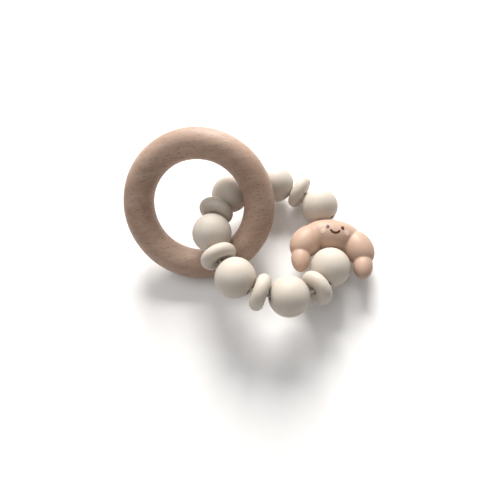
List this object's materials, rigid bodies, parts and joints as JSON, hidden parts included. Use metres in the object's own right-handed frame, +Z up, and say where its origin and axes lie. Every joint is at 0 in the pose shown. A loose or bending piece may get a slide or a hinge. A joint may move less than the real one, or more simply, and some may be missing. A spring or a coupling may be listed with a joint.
{
  "type": "baby rattle",
  "caption": "Baby rattle: a smooth wooden grip ring linked through a closed loop of round and lentil silicone beads with one smiling croissant bead.",
  "frame": {"origin": "middle of the footprint at table height", "axes": "+Z up from the table; the loop of beads lies to +X and the ring leans to -X, rising towards +Y"},
  "size_m": [0.0912, 0.0757, 0.0407],
  "materials": {
    "ring_wood": "oiled beech, matt",
    "bead_silicone": "matt cream silicone",
    "croissant_silicone": "matt peach-tan silicone",
    "face_brown": "dark brown silicone, flush",
    "cheek_peach": "paler peach silicone, flush",
    "cord_thread": "braided cream cord"
  },
  "bodies": {
    "strand_cord": {"cord": "cord_thread", "cord_knot": "cord_thread"},
    "ring": {"wood_ring": "ring_wood"},
    "croissant": {"croissant_bead": "croissant_silicone", "eye_left": "face_brown", "eye_right": "face_brown", "smile": "face_brown", "cheek_left": "cheek_peach", "cheek_right": "cheek_peach"},
    "round_bead_1": {"round_bead_1": "bead_silicone"},
    "lentil_bead_1": {"lentil_bead_1": "bead_silicone"},
    "round_bead_2": {"round_bead_2": "bead_silicone"},
    "lentil_bead_2": {"lentil_bead_2": "bead_silicone"},
    "round_bead_3": {"round_bead_3": "bead_silicone"},
    "lentil_bead_3": {"lentil_bead_3": "bead_silicone"},
    "round_bead_4": {"round_bead_4": "bead_silicone"},
    "round_bead_5": {"round_bead_5": "bead_silicone"},
    "lentil_bead_4": {"lentil_bead_4": "bead_silicone"},
    "round_bead_6": {"round_bead_6": "bead_silicone"},
    "lentil_bead_5": {"lentil_bead_5": "bead_silicone"},
    "round_bead_7": {"round_bead_7": "bead_silicone"},
    "lentil_bead_6": {"lentil_bead_6": "bead_silicone"}
  },
  "joints": [
    {"name": "round_bead_1_spin", "type": "hinge", "parent": "strand_cord", "child": "round_bead_1", "pos_m": [-0.01353, 0.00053, 0.01926], "axis": [-0.13, -0.9817, 0.1393], "continuous": true},
    {"name": "lentil_bead_1_spin", "type": "hinge", "parent": "strand_cord", "child": "lentil_bead_1", "pos_m": [-0.01295, -0.00989, 0.02024], "axis": [0.2331, -0.9713, 0.047], "continuous": true},
    {"name": "round_bead_2_spin", "type": "hinge", "parent": "strand_cord", "child": "round_bead_2", "pos_m": [-0.00873, -0.01949, 0.02023], "axis": [0.5636, -0.8244, -0.0519], "continuous": true},
    {"name": "lentil_bead_2_spin", "type": "hinge", "parent": "strand_cord", "child": "lentil_bead_2", "pos_m": [-0.00132, -0.0268, 0.01916], "axis": [0.8328, -0.5325, -0.1512], "continuous": true},
    {"name": "round_bead_3_spin", "type": "hinge", "parent": "strand_cord", "child": "round_bead_3", "pos_m": [0.00827, -0.03035, 0.01714], "axis": [0.9641, -0.1378, -0.2271], "continuous": true},
    {"name": "lentil_bead_3_spin", "type": "hinge", "parent": "strand_cord", "child": "lentil_bead_3", "pos_m": [0.01896, -0.02916, 0.01433], "axis": [0.8778, 0.3998, -0.2638], "continuous": true},
    {"name": "round_bead_4_spin", "type": "hinge", "parent": "strand_cord", "child": "round_bead_4", "pos_m": [0.02661, -0.02199, 0.01163], "axis": [0.4712, 0.8564, -0.2113], "continuous": true},
    {"name": "croissant_spin", "type": "hinge", "parent": "strand_cord", "child": "croissant", "pos_m": [0.03161, -0.00863, 0.00892], "axis": [0.3078, 0.9345, -0.1788], "continuous": true},
    {"name": "round_bead_5_spin", "type": "hinge", "parent": "strand_cord", "child": "round_bead_5", "pos_m": [0.03098, 0.00589, 0.0075], "axis": [-0.4177, 0.9086, 0.0061], "continuous": true},
    {"name": "lentil_bead_4_spin", "type": "hinge", "parent": "strand_cord", "child": "lentil_bead_4", "pos_m": [0.02492, 0.01442, 0.0081], "axis": [-0.7242, 0.6811, 0.1078], "continuous": true},
    {"name": "round_bead_6_spin", "type": "hinge", "parent": "strand_cord", "child": "round_bead_6", "pos_m": [0.01615, 0.01984, 0.00971], "axis": [-0.9216, 0.3358, 0.1949], "continuous": true},
    {"name": "lentil_bead_5_spin", "type": "hinge", "parent": "strand_cord", "child": "lentil_bead_5", "pos_m": [0.00611, 0.02118, 0.01208], "axis": [-0.9609, -0.1116, 0.2534], "continuous": true},
    {"name": "round_bead_7_spin", "type": "hinge", "parent": "strand_cord", "child": "round_bead_7", "pos_m": [-0.00325, 0.01759, 0.01482], "axis": [-0.8014, -0.5387, 0.2597], "continuous": true},
    {"name": "lentil_bead_6_spin", "type": "hinge", "parent": "strand_cord", "child": "lentil_bead_6", "pos_m": [-0.01022, 0.01028, 0.01737], "axis": [-0.5041, -0.8359, 0.2174], "continuous": true},
    {"name": "ring_swing", "type": "hinge", "parent": "strand_cord", "child": "ring", "pos_m": [-0.01219, 0.00769, 0.01815], "axis": [0.9672, -0.2534, -0.0185], "range_deg": [0, 58]}
  ]
}
